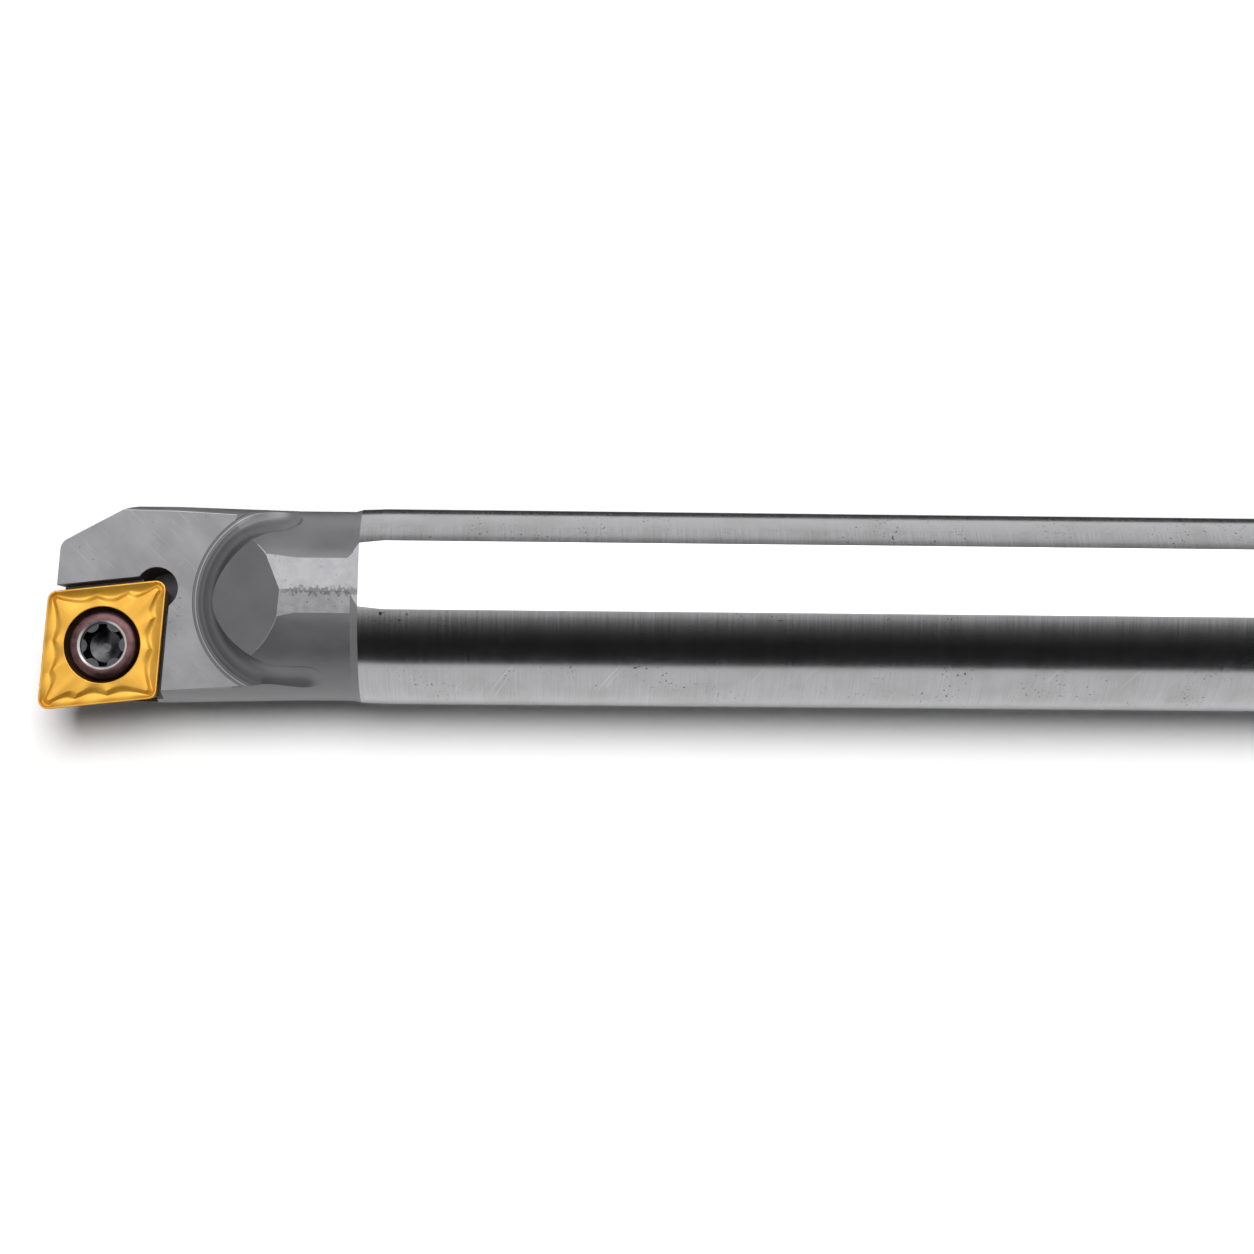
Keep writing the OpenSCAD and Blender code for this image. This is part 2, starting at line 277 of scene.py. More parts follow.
def addSurface(material, colour, metallic, roughness, reliefs):
    # roughness is a number, or a mask with its least and most value
    # each relief is a height and its depth in millimetres, pressed in over the one before
    inputs = {"Base Color": colour, "Metallic": metallic, "Roughness": roughness}
    if isinstance(roughness, tuple):
        mask, least, most = roughness
        inputs["Roughness"] = addNode(material, "ShaderNodeMapRange", {
            "Value": mask, "To Min": least, "To Max": most,
        }).outputs[0]
    for height, depth in reliefs:
        links = {"Height": height, "Strength": 1.0, "Distance": depth * metresPerMm}
        if "Normal" in inputs:
            links["Normal"] = inputs["Normal"]
        inputs["Normal"] = addNode(material, "ShaderNodeBump", links).outputs[0]
    shader = addNode(material, "ShaderNodeBsdfPrincipled", inputs)
    addNode(material, "ShaderNodeOutputMaterial", {"Surface": shader.outputs["BSDF"]})


def makeGroundSteel():
    # hardened tool steel, cylindrically ground: mirror-like, fine streaks round the bar, few pits
    material = newMaterial("groundToolSteel")
    streaks = noiseBetween(material, millimetres(material, (0.12, 5, 5)), 0.3, 0.7, 4.0)
    smudges = noiseBetween(material, millimetres(material), 0.45, 0.68, 4.0, 1 / 3.5)
    pits = pitMask(material, 0.24, 0.67, 4.0, 0.5)
    hairs = scratchMask(material, (0, 0, 35), 9, 0.08, 0.3)
    colour = layColours(material, "#A2A2A4", (
        (streaks, 1, "#AEAEB0"),
        (smudges, 0.35, "#8E8C88"),
        (hairs, 0.25, "#D2D2D4"),
        (pits, 1, "#3A3A3C"),
    ))
    addSurface(material, colour, 1.0, (streaks, 0.15, 0.22), ((streaks, 0.0008), (pits, 0.004)))
    return material


def makeFlatSteel():
    # the same steel, surface ground lengthwise: paler, with straight fine lines along the bar
    material = newMaterial("surfaceGroundSteel")
    lines = noiseBetween(material, millimetres(material, (14, 0.1, 14)), 0.3, 0.7, 3.0)
    smudges = noiseBetween(material, millimetres(material), 0.5, 0.7, 4.0, 1 / 4)
    colour = layColours(material, "#B4B4B6", ((lines, 1, "#C0C0C2"), (smudges, 0.3, "#9A9896")))
    addSurface(material, colour, 1.0, (lines, 0.2, 0.28), ((lines, 0.0008),))
    return material


def makeHeadSteel(name, dark, light, metallic, roughness):
    # heat-treated steel, blast finished: even matt grey with a soft grain and faint clouds
    material = newMaterial(name)
    grain = noiseBetween(material, millimetres(material), 0.35, 0.65, 2.0, 1 / 0.12)
    clouds = noiseBetween(
        material, millimetres(material, (1.8, 1, 1)), 0.36, 0.64, 4.0, 1 / 2.2,
    )
    colour = layColours(material, dark, ((clouds, 1, light),))
    sheen = (clouds, roughness - 0.03, roughness + 0.03)
    addSurface(material, colour, metallic, sheen, ((grain, 0.0012),))
    return material


def makeFacetSteel():
    # narrow facets touched by the grinding wheel: lighter, ragged, a dark smear where they meet
    meetY, smearStart, smearFull = -1.42, -160.4, -159.4
    material = newMaterial("groundNeckFacets")
    patches = noiseBetween(material, millimetres(material), 0.42, 0.6, 5.0, 1 / 0.9)
    specks = pitMask(material, 0.22, 0.68, 1.2, 0.48)
    place = addNode(material, "ShaderNodeSeparateXYZ", {0: millimetres(material)})
    ragged = noiseBetween(
        material, millimetres(material, (0.6, 1, 1)), 0.3, 0.7, 5.0, 1 / 0.5, -0.35, 0.35,
    )
    side = addNode(
        material, "ShaderNodeMath", {0: place.outputs["Y"], 1: ragged}, operation="ADD",
    )
    smear = lineMask(material, side.outputs[0], meetY, 0.1, 0.3)
    ends = addNode(material, "ShaderNodeMapRange", {
        "Value": place.outputs["X"], "From Min": smearStart, "From Max": smearFull,
        "To Min": 0.0, "To Max": 0.85,
    })
    smear = addNode(
        material, "ShaderNodeMath", {0: smear, 1: ends.outputs[0]}, operation="MULTIPLY",
    )
    colour = layColours(material, "#727274", (
        (patches, 1, "#808082"),
        (smear.outputs[0], 1, "#4E4E4F"),
        (specks, 1, "#4A4A4B"),
    ))
    addSurface(material, colour, 0.75, (patches, 0.3, 0.4), ((patches, 0.004),))
    return material


def makeLandSteel():
    # milled and blasted land: matt grey, pale slanting scratches, faint stains, dark specks
    material = newMaterial("milledLandSteel")
    clouds = noiseBetween(
        material, millimetres(material, (1, 1.6, 1), (0, 0, 35)), 0.36, 0.64, 5.0, 1 / 2.4,
    )
    grain = noiseBetween(material, millimetres(material), 0.35, 0.65, 2.0, 1 / 0.15)
    longMarks = scratchMask(material, (0, 0, -44), 2.6, 0.2, 0.34)
    shortMarks = scratchMask(material, (0, 0, 35), 1.2, 0.16, 0.32)
    specks = pitMask(material, 0.24, 0.7, 2.5, 0.52)
    colour = layColours(material, "#707072", (
        (clouds, 1, "#7C7C7E"),
        (longMarks, 0.16, "#98989A"),
        (shortMarks, 0.12, "#909092"),
        (specks, 0.7, "#444445"),
    ))
    addSurface(material, colour, 0.65, 0.4, ((grain, 0.001), (longMarks, 0.002)))
    return material


def makeGulletSteel(ringCentre, rimRadius):
    # fillet swept by a round-nosed cutter: tool marks run round the foot on a dark ground of
    # painted shade for the hollow, paler at the run-outs; at its rim a painted shade line and a
    # painted highlight
    material = newMaterial("sweptGulletSteel")
    turn = (tip["sideTilt"], -tip["frontTilt"], 0)
    placed = millimetres(material, turn=turn, centre=ringCentre)
    flat = addNode(
        material, "ShaderNodeVectorMath", {0: placed, 1: (1, 1, 0)}, operation="MULTIPLY",
    )
    radius = addNode(
        material, "ShaderNodeVectorMath", {0: flat.outputs[0]}, operation="LENGTH",
    ).outputs["Value"]
    rings = addNode(material, "ShaderNodeTexNoise", {
        "W": radius, "Scale": 2.4, "Detail": 4.0,
    }, noise_dimensions="1D")
    rings = addNode(material, "ShaderNodeMapRange", {
        "Value": rings.outputs[0], "From Min": 0.35, "From Max": 0.65,
    }).outputs[0]
    along = addNode(material, "ShaderNodeSeparateXYZ", {0: placed})
    runout = addNode(material, "ShaderNodeMapRange", {
        "Value": along.outputs["X"], "From Min": -5.0, "From Max": -0.5,
    }).outputs[0]
    # painted shade: the dark ground of the hollow and a dark line on the rim; painted highlight: a
    # bright line just inside the rim
    rimShadeLine = lineMask(material, radius, rimRadius, 0.028, 0.07, 0.8)
    rimHighlightLine = lineMask(material, radius, rimRadius - 0.27, 0.02, 0.05, 0.6)
    colour = layColours(material, "#4B4B4D", (
        (rings, 1, "#5E5E60"),
        (runout, 1, "#6E6E70"),
        (rimShadeLine, 1, "#2C2C2E"),
        (rimHighlightLine, 1, "#9C9C9E"),
    ))
    addSurface(material, colour, 0.65, 0.38, ((rings, 0.006),))
    return material


def makeTappedSteel():
    # tapped hole, coloured dark as painted shade for its depth: ridges of the thread run round the
    # screw's axis
    material = newMaterial("tappedHoleSteel")
    pitch = 0.6
    placed = millimetres(material, turn=(tip["sideTilt"], -tip["frontTilt"], 0))
    # one ridge to a pitch: the wave node has 20 radians to a unit
    waves = addNode(material, "ShaderNodeTexWave", {
        "Vector": placed, "Scale": 2 * math.pi / 20 / pitch,
    }, bands_direction="Z")
    colour = layColours(material, "#2C2C2D", ((waves.outputs["Color"], 1, "#505052"),))
    addSurface(material, colour, 0.8, 0.45, ((waves.outputs[1], 0.15),))
    return material


def makeGoldCoating(name, shade, light, roughness):
    # cemented carbide under a gold nitride coating: silky over the sintered grain, browner spots
    material = newMaterial(name)
    grain = noiseBetween(material, millimetres(material), 0.3, 0.7, 3.0, 1 / 0.08)
    clouds = noiseBetween(material, millimetres(material), 0.35, 0.65, 3.0, 1 / 1.6)
    colour = layColours(material, shade, ((clouds, 1, light),))
    sheen = (grain, roughness - 0.04, roughness + 0.05)
    addSurface(material, colour, 0.55, sheen, ((grain, 0.0015),))
    return material


def makeScrewSteel(name, dark, light, metallic, roughness):
    # oiled bronze-brown screw steel: faintly stained, worn to bright metal where the driver rubs
    material = newMaterial(name)
    stains = noiseBetween(material, millimetres(material), 0.35, 0.65, 4.0, 1 / 0.7)
    grain = noiseBetween(material, millimetres(material), 0.3, 0.7, 2.0, 1 / 0.06)
    colour = layColours(material, dark, ((stains, 1, light),))
    sheen = (stains, roughness - 0.04, roughness + 0.05)
    addSurface(material, colour, metallic, sheen, ((grain, 0.001),))
    return material


groundSteel = makeGroundSteel()
flatSteel = makeFlatSteel()
neckSteel = makeHeadSteel("blastedHeadSteel", "#6E6E70", "#767678", 0.65, 0.4)
rampSteel = makeHeadSteel("milledRampSteel", "#646466", "#6A6A6C", 0.65, 0.42)
# the pocket's seat, walls and relief hole are coloured darker than the other head steel: painted
# shade for the recess
pocketSteel = makeHeadSteel("milledPocketSteel", "#4A4A4C", "#5A5A5C", 0.65, 0.42)
facetSteel = makeFacetSteel()
landSteel = makeLandSteel()
edgeSteel = makeHeadSteel("brokenEdgeSteel", "#868688", "#9C9C9E", 0.9, 0.35)
tappedSteel = makeTappedSteel()
goldCoating = makeGoldCoating("goldNitrideCoating", "#C08E2E", "#CC9A38", 0.34)
# the honed edge is coloured darker brown: painted shade for the insert's shaded outline
honedShadeCoating = makeGoldCoating("honedEdgePaintedShade", "#A0712A", "#B88430", 0.3)
# near black brown in the screw's seat and hole: painted shade for the deep gap round the screw head
seatShadeCoating = makeGoldCoating("screwSeatPaintedShade", "#3A2A12", "#503A18", 0.5)
screwBronze = makeScrewSteel("bronzedScrewSteel", "#4A3435", "#604445", 0.85, 0.3)
screwBright = makeScrewSteel("wornScrewSteel", "#C0BCBA", "#D4D0CE", 0.9, 0.3)
socketRib = makeScrewSteel("forgedRibSteel", "#3A3A3C", "#48484A", 1.0, 0.36)
socketFloor = makeScrewSteel("forgedPointSteel", "#3C3C3E", "#545456", 1.0, 0.26)
# near black in the socket: the screw's dark oxide and painted shade for the deep recess
socketOxideShade = makeScrewSteel("forgedSocketOxideAndShade", "#0A0A0A", "#101011", 1.0, 0.4)


# Steel bar, turned and milled from one piece
bar = {
    "shankRadius": 8.0,
    "turnSteps": 192,
    "rearChamfer": 1.0,
    "headLength": 25.9,
    "leadIn": 0.08,
    "leadInLength": 2.0,
    "flatHeight": 7.45,
    "flatExitAngle": 12.0,
    "neckRadius": 7.75,
    "neckLength": 5.0,
    "neckTaper": 10.0,
    "neckCone": 0.6,
    "facetHeight": 7.64,
    "sideFacetHeight": 7.70,
    "sideFacetTurn": 17.5,
    "landRise": 0.3,
    "insertSize": 9.525,
    "insertThickness": 3.97,
    "contactHeight": 2.4,
    "farGap": 0.4,
    "rearGap": 0.4,
    "reliefRadius": 1.7,
    "reliefInset": 0.75,
    "reliefDepth": 0.3,
    "reliefSteps": 96,
    "frontSetback": 0.75,
    "frontRelief": 8.0,
    "noseLength": 7.0,
    "noseAngle": 27.0,
    "cornerRound": 1.0,
    "gulletLength": 20.6,
    "gulletRadius": 8.0,
    "gulletFillet": 2.6,
    "rampAngle": 28.2,
    "rampFoot": 0.7,
    # side, start before the foot's middle, end after it, and how much deeper the cutter gets
    "passes": ((-1, 2.7, 1.2, 0.8), (1, 4.5, -0.9, 1.4)),
    "passSteps": 36,
    "filletSteps": 28,
    "cutterSteps": 128,
    "holeRadius": 1.79,
    "holeSteps": 64,
    "edgeBreak": 0.05,
    "sharpAngle": 5.0,
    "reach": 60.0,
}
seatZ = -bar["insertThickness"]
insertMid = (
    bar["insertSize"] / 2 / math.sin(math.radians(tip["acute"] / 2)) * math.sin(math.radians(45))
)


def axisInTipFrame(x):
    # side position and height of the bar's axis, x away from the corner
    side, front = math.radians(tip["sideTilt"]), math.radians(tip["frontTilt"])
    reachOut = tip["offset"] + cornerInset
    return (
        reachOut * math.cos(side) - x * math.tan(front) * math.sin(side),
        -reachOut * math.sin(side) - x * math.tan(front) * math.cos(side),
    )


gulletY, _ = axisInTipFrame(bar["gulletLength"])
gulletCentre = tipPlace @ Vector((bar["gulletLength"], gulletY, bar["landRise"]))
gulletSteel = makeGulletSteel(gulletCentre, bar["gulletRadius"])


def arcPoints(centre, radius, startTurn, endTurn, steps):
    turns = [math.radians(startTurn + (endTurn - startTurn) * i / steps) for i in range(steps + 1)]
    return [(centre[0] + radius * math.cos(t), centre[1] + radius * math.sin(t)) for t in turns]


def turnedBlank():
    shankLength = tip["overall"] - bar["headLength"]
    r = bar["shankRadius"]
    neckStart = shankLength + bar["neckCone"]
    taperStart = shankLength + bar["neckLength"]
    profile = [
        (r - bar["rearChamfer"], 0),
        (r, bar["rearChamfer"]),
        (r, shankLength - bar["leadInLength"]),
        (r - bar["leadIn"], shankLength),
        (bar["neckRadius"], neckStart),
        (bar["neckRadius"], taperStart),
        (r, taperStart + bar["neckTaper"]),
        (r, tip["overall"] + r),
    ]
    place = Matrix.Rotation(math.radians(-90), 4, "Y")
    return turnedPiece(profile, bar["turnSteps"], place, groundSteel)


def cutFlats(piece):
    far = bar["reach"]
    shankLength = tip["overall"] - bar["headLength"]
    front = -tip["overall"] - far
    neckFront = -shankLength - bar["neckCone"]
    flats = [
        (bar["flatHeight"], 0, -shankLength, far, flatSteel),
        (bar["flatHeight"], 180, front, far, flatSteel),
        (bar["facetHeight"], 0, front, far, facetSteel),
        (bar["sideFacetHeight"], bar["sideFacetTurn"], front, neckFront, facetSteel),
    ]
    for height, turn, fromX, toX, finish in flats:
        place = Matrix.Rotation(math.radians(turn), 4, "X")
        combine(piece, boxPiece((fromX, -far, height), (toX, far, height + far), place, finish))
    # the wheel that ground the top flat leaves the neck on a slope
    place = (
        Matrix.Translation((-shankLength, 0, bar["flatHeight"]))
        @ Matrix.Rotation(math.radians(bar["flatExitAngle"]), 4, "Y")
    )
    combine(piece, boxPiece((-far, -far, 0), (0, far, far), place, facetSteel))


def cutFrontAndNose(piece):
    far = bar["reach"]
    frontPlace = (
        tipPlace
        @ Matrix.Rotation(math.radians(-tip["edgeAngle"]), 4, "Z")
        @ Matrix.Translation((bar["frontSetback"], 0, 0))
        @ Matrix.Rotation(math.radians(-bar["frontRelief"]), 4, "Y")
    )
    combine(piece, boxPiece((-far, -far, -far), (0, far, far), frontPlace, neckSteel))
    axisY, axisZ = axisInTipFrame(bar["noseLength"])
    half = math.sqrt(bar["shankRadius"] ** 2 - (bar["landRise"] - axisZ) ** 2)
    place = (
        tipPlace
        @ Matrix.Translation((bar["noseLength"], axisY + half, 0))
        @ Matrix.Rotation(math.radians(bar["noseAngle"]), 4, "Z")
    )
    combine(piece, boxPiece((-far, 0, -far), (far, far, far), place, neckSteel))
    roundFrontCorner(piece, frontPlace, place)


def roundFrontCorner(piece, frontPlace, nosePlace):
    # cuts away what lies outside a cylinder that touches both the front face and the nose chamfer
    far, radius = bar["reach"], bar["cornerRound"]
    front = frontPlace.to_3x3() @ Vector((-1, 0, 0))
    nose = nosePlace.to_3x3() @ Vector((0, 1, 0))
    along = front.cross(nose).normalized()
    rows = Matrix((front, nose, along))
    middle = rows.inverted() @ Vector((
        front.dot(frontPlace.translation) - radius, nose.dot(nosePlace.translation) - radius, 0,
    ))
    outwards = (front + nose).normalized()
    place = Matrix((outwards, along.cross(outwards), along)).transposed().to_4x4()
    place.translation = middle
    cutter = boxPiece((radius * outwards.dot(front), -far, -far), (far, far, far), finish=neckSteel)
    rod = [(radius, -2 * far), (radius, 2 * far)]
    combine(cutter, turnedPiece(rod, bar["turnSteps"], finish=neckSteel))
    combine(piece, settle(cutter, place))


def rampIsland():
    # what stays standing behind the land: the round foot under the ramp
    land, fillet, radius = bar["landRise"], bar["gulletFillet"], bar["gulletRadius"]
    far = bar["reach"]
    profile = [(radius, land - far)]
    profile += arcPoints((radius, land + fillet), fillet, -90, -180, bar["filletSteps"])
    profile += [(radius - fillet, land + far)]
    middle = Matrix.Translation((bar["gulletLength"], gulletY, 0))
    island = turnedPiece(profile, bar["turnSteps"], middle, gulletSteel)
    footX = bar["gulletLength"] - radius + math.sqrt(fillet ** 2 - (fillet - bar["rampFoot"]) ** 2)
    place = (
        Matrix.Translation((footX, 0, land + bar["rampFoot"]))
        @ Matrix.Rotation(math.radians(-bar["rampAngle"]), 4, "Y")
    )
    below = boxPiece((-far, -far, -far), (far, far, 0), place, rampSteel)
    # low down the fillet's toe is left whole
    toe = boxPiece((-far, -far, -far), (far, far, land + 0.9 * bar["rampFoot"]), finish=rampSteel)
    combine(below, toe, "UNION")
    return combine(island, below, "INTERSECT")


def runoutCutter(moves):
    # a ball-nosed cutter whose front half is drawn on along its path, move by move
    fillet = bar["gulletFillet"]
    profile = arcPoints((0, fillet), fillet, -89, 0, bar["filletSteps"]) + [(fillet, bar["reach"])]
    cutter = turnedPiece(profile, bar["cutterSteps"], finish=gulletSteel)
    pick(cutter)
    bpy.ops.object.mode_set(mode="EDIT")
    bpy.ops.mesh.select_mode(type="VERT")
    bpy.ops.mesh.select_all(action="DESELECT")
    bpy.ops.object.mode_set(mode="OBJECT")
    for vertex in cutter.data.vertices:
        vertex.select = vertex.co.x > -0.001
    bpy.ops.object.mode_set(mode="EDIT")
    for move in moves:
        bpy.ops.mesh.extrude_region_move(TRANSFORM_OT_translate={"value": move})
    bpy.ops.object.mode_set(mode="OBJECT")
    return cutter


def cutGullet(piece):
    far = bar["reach"]
    land = bar["landRise"]
    slab = boxPiece((-far, -far, land), (bar["gulletLength"], far, land + far), finish=landSteel)
    combine(slab, rampIsland())
    combine(piece, settle(slab, tipPlace))
    for side, before, runout, sink in bar["passes"]:
        # the cutter follows the round foot, sinks in gently and runs out level
        spots = []
        for i in range(bar["passSteps"] + 1):
            share = i / bar["passSteps"]
            x = share * (before + runout) - before
            y = side * math.sqrt(bar["gulletRadius"] ** 2 - min(x, 0) ** 2)
            spots.append(Vector((x, y, -sink * share * (0.1 + share * (2.7 - 1.8 * share)))))
        cutter = runoutCutter([after - spot for spot, after in zip(spots, spots[1:])])
        start = Vector((bar["gulletLength"], gulletY, land)) + spots[0]
        combine(piece, settle(cutter, tipPlace @ Matrix.Translation(start)))


def cutPocket(piece):
    far = bar["reach"]
    contactZ = seatZ + bar["contactHeight"]
    lean = math.radians(7)
    farTurn = Matrix.Rotation(math.radians(tip["edgeAngle"]), 4, "Z")
    rearTurn = Matrix.Rotation(math.radians(-tip["edgeAngle"]), 4, "Z")
    seat = boxPiece((-far, -far, seatZ), (far, far, far), finish=pocketSteel)
    place = farTurn @ Matrix.Translation((0, bar["insertSize"], 0)) @ Matrix.Rotation(-lean, 4, "X")
    combine(seat, boxPiece((-far, -2 * far, -far), (far, 0, far), place, pocketSteel), "INTERSECT")
    place = rearTurn @ Matrix.Translation((bar["insertSize"], 0, 0)) @ Matrix.Rotation(lean, 4, "Y")
    combine(seat, boxPiece((-2 * far, -far, -far), (0, far, far), place, pocketSteel), "INTERSECT")
    combine(piece, settle(seat, tipPlace))
    wide = boxPiece(
        (-far, -far, contactZ), (far, bar["insertSize"] + bar["farGap"], far), farTurn, pocketSteel
    )
    limit = boxPiece(
        (-far, -far, -far), (bar["insertSize"] + bar["rearGap"], far, 2 * far),
        rearTurn, pocketSteel,
    )
    combine(wide, limit, "INTERSECT")
    combine(piece, settle(wide, tipPlace))
    corner = 2 * insertMid - bar["reliefInset"]
    place = Matrix.Translation((corner, corner, seatZ - bar["reliefDepth"]))
    rod = [(bar["reliefRadius"], 0), (bar["reliefRadius"], far)]
    relief = turnedPiece(rod, bar["reliefSteps"], place, pocketSteel)
    beside = boxPiece(
        (0, 0, 0), (2 * bar["reliefRadius"], bar["reliefRadius"], far),
        place @ Matrix.Rotation(math.radians(225), 4, "Z"), pocketSteel,
    )
    combine(relief, beside, "UNION")
    combine(piece, settle(relief, tipPlace))
    place = Matrix.Translation((insertMid, insertMid, seatZ - far))
    rod = [(bar["holeRadius"], 0), (bar["holeRadius"], 2 * far)]
    hole = turnedPiece(rod, bar["holeSteps"], place, tappedSteel)
    combine(piece, settle(hole, tipPlace))


def finishByPlace(piece):
    # the turned surface in front of the shank gets the neck's finish
    neckIndex = piece.data.materials.find(neckSteel.name)
    groundIndex = piece.data.materials.find(groundSteel.name)
    front = -(tip["overall"] - bar["headLength"])
    for face in piece.data.polygons:
        if face.material_index == groundIndex and face.center.x < front:
            face.material_index = neckIndex


def mergeFlatFaces(piece):
    # leaves no stray points, needless splits or short edges round the ramp for the bevel to trip on
    pick(piece)
    bpy.ops.object.mode_set(mode="EDIT")
    bpy.ops.mesh.select_all(action="SELECT")
    bpy.ops.mesh.remove_doubles(threshold=0.004)
    bpy.ops.mesh.dissolve_limited(angle_limit=math.radians(0.3), delimit={"MATERIAL"})
    bpy.ops.mesh.select_mode(type="FACE")
    bpy.ops.mesh.select_all(action="DESELECT")
    bpy.ops.object.mode_set(mode="OBJECT")
    rampIndex = piece.data.materials.find(rampSteel.name)
    for face in piece.data.polygons:
        face.select = face.material_index == rampIndex
    bpy.ops.object.mode_set(mode="EDIT")
    bpy.ops.mesh.remove_doubles(threshold=0.08)
    bpy.ops.object.mode_set(mode="OBJECT")


def weighSharpEdges(piece):
    # edges over 30 degrees are broken, but not round the flats, the gullet's fillet and the hole
    names = [material.name for material in piece.data.materials]
    unbroken = (flatSteel, facetSteel, gulletSteel, tappedSteel)
    left = [names.index(finish.name) for finish in unbroken]
    sides = {}
    for face in piece.data.polygons:
        for key in face.edge_keys:
            sides.setdefault(key, []).append(face)
    weights = piece.data.attributes.new("bevel_weight_edge", "FLOAT", "EDGE")
    limit = math.cos(math.radians(30))
    for edge in piece.data.edges:
        first, second = sides[edge.key]
        kept = first.material_index in left or second.material_index in left
        if first.normal.dot(second.normal) < limit and not kept:
            weights.data[edge.index].value = 1.0


def dullInnerEdges(piece):
    # the edges round the gullet stay as milled, and the strip between the facets is like them
    names = [material.name for material in piece.data.materials]
    edgeIndex, rampIndex = names.index(edgeSteel.name), names.index(rampSteel.name)
    neckIndex, facetIndex = names.index(neckSteel.name), names.index(facetSteel.name)
    toTip = tipPlace.inverted()
    footInner, footOuter = 4.9, bar["gulletRadius"] + 0.3
    stripHeight, stripY, stripHalf = 7.6, -1.39, 0.1
    for face in piece.data.polygons:
        if face.material_index == edgeIndex:
            spot = toTip @ face.center
            away = math.hypot(spot.x - bar["gulletLength"], spot.y - gulletY)
            if footInner < away < footOuter:
                face.material_index = rampIndex
        elif face.material_index == neckIndex and face.center.z > stripHeight:
            if abs(face.center.y - stripY) < stripHalf:
                face.material_index = facetIndex


def buildBar():
    piece = turnedBlank()
    piece.name = "steelBar"
    cutFlats(piece)
    cutFrontAndNose(piece)
    cutGullet(piece)
    cutPocket(piece)
    finishByPlace(piece)
    mergeFlatFaces(piece)
    weighSharpEdges(piece)
    piece.data.materials.append(edgeSteel)
    applyModifier(
        piece, "BEVEL", width=bar["edgeBreak"], segments=2, limit_method="WEIGHT",
        use_clamp_overlap=False, material=len(piece.data.materials) - 1,
        harden_normals=False, miter_outer="MITER_ARC",
    )
    dullInnerEdges(piece)
    smoothFaces(piece, bar["sharpAngle"])
    return toMetres(piece)


steelBar = buildBar()
print("bar built:", len(steelBar.data.polygons), "faces")

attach(steelBar, "root")
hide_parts("bar_body")

# Rhombic insert: tapered flanks, honed edge and a chip breaker pressed in scallops
insert = {
    "size": 9.525,
    "thickness": 3.97,
    "flankAngle": 7.0,
    "hone": 0.05,
    "footChamfer": 0.08,
    "band": 0.12,
    "footInset": 0.62,
    "footReach": 0.32,
    "topInset": 1.02,
    "topReach": 0.45,
    "depth": 0.27,
    "dish": 0.05,
    "scallops": 3,
    "growth": 0.27,
    "cornerLead": 0.28,
    "cornerSteps": 14,
    "scallopSteps": 22,
    "seatRadius": 3.1,
    "seatWall": 0.45,
    "seatTurn": 30.0,
    "holeRadius": 2.2,
    "mouthRound": 0.07,
    "holeChamfer": 0.1,
    "sharpAngle": 22.0,
}
cornerStarts = [start + tip["edgeAngle"] * lean for start, lean in (
    (180, -1), (270, 1), (0, -1), (90, 1),
)]
cornerTurns = (180 - tip["acute"], tip["acute"], 180 - tip["acute"], tip["acute"])
sideSteps = insert["scallops"] * insert["scallopSteps"]
insertColumns = 4 * (insert["cornerSteps"] + sideSteps)


def cornerPoint(corner, share, inset):
    radius = max(tip["noseRadius"] - inset, tip["noseRadius"] / 4)
    turn = cornerTurns[corner]
    middle = math.radians(cornerStarts[corner] + turn / 2)
    away = (insert["size"] / 2 - inset - radius) / math.sin(math.radians((180 - turn) / 2))
    a = math.radians(cornerStarts[corner] + turn * share)
    centre = Vector((away * math.cos(middle), away * math.sin(middle), 0))
    return centre + Vector((radius * math.cos(a), radius * math.sin(a), 0))


def scallopEnd(count):
    # share of a side taken by its first scallops, which grow away from the acute corner
    grow, total = insert["growth"], insert["scallops"]
    return count * (2 + grow * (count - 1)) / (2 + grow * (total - 1)) / total


def alongOutline(column):
    # the last corner, how far its arc has turned, how far the side has run, the wave inside
    # a scallop, and how near a corner is
    corner, step = divmod(column, insert["cornerSteps"] + sideSteps)
    if step <= insert["cornerSteps"]:
        return corner, step / insert["cornerSteps"], 0.0, 0.0, 1.0
    step -= insert["cornerSteps"]
    fromAcute = step if corner % 2 == 0 else sideSteps - step
    count, rest = divmod(fromAcute, insert["scallopSteps"])
    share = rest / insert["scallopSteps"]
    place = (1 - share) * scallopEnd(count) + share * scallopEnd(count + 1)
    if corner % 2 == 1:
        place = 1 - place
    nearCorner = max(0, 1 - min(step, sideSteps - step) / insert["scallopSteps"])
    return corner, 1.0, place, math.sin(math.pi * share), nearCorner


def outlineSpot(column, inset, wave=0.0, lead=0.0):
    # wave widens the inset inside each scallop, lead narrows it towards the corners
    corner, turned, place, swing, nearCorner = alongOutline(column)
    inset += wave * swing - lead * nearCorner
    if place == 0.0:
        return cornerPoint(corner, turned, inset)
    return cornerPoint(corner, 1, inset).lerp(cornerPoint((corner + 1) % 4, 0, inset), place)


